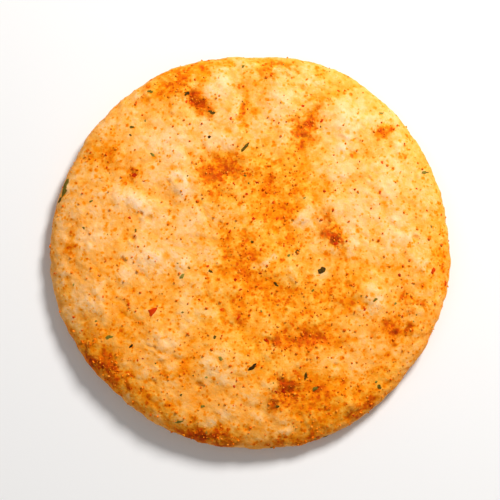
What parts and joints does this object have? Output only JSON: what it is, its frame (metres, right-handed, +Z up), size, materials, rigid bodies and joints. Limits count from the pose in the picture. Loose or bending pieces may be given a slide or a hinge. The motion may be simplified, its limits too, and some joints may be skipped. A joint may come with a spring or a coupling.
{
  "type": "rice cracker",
  "caption": "Round puffed rice cracker, thin and slightly domed, with a blistered seasoned face and a rounded uneven rim; it lies flat on its underside.",
  "frame": {"origin": "middle of the footprint on the surface that the cracker rests on", "axes": "+Z up, out of the seasoned face; +Y and +X lie in the plane of the cracker, with the darkest seasoned edge towards -X and -Y"},
  "size_m": [0.0684, 0.0674, 0.0078],
  "materials": {
    "cracker": "baked rice dough, tan with orange seasoning, matte with a light oily sheen",
    "seaweed": "dried seaweed flakes, dark green to black, matte",
    "chilli": "dried chilli flakes, red, matte",
    "seasoning": "seasoning grains, orange to red-brown, matte"
  },
  "bodies": {
    "root": {"cracker": "cracker"}
  },
  "joints": []
}
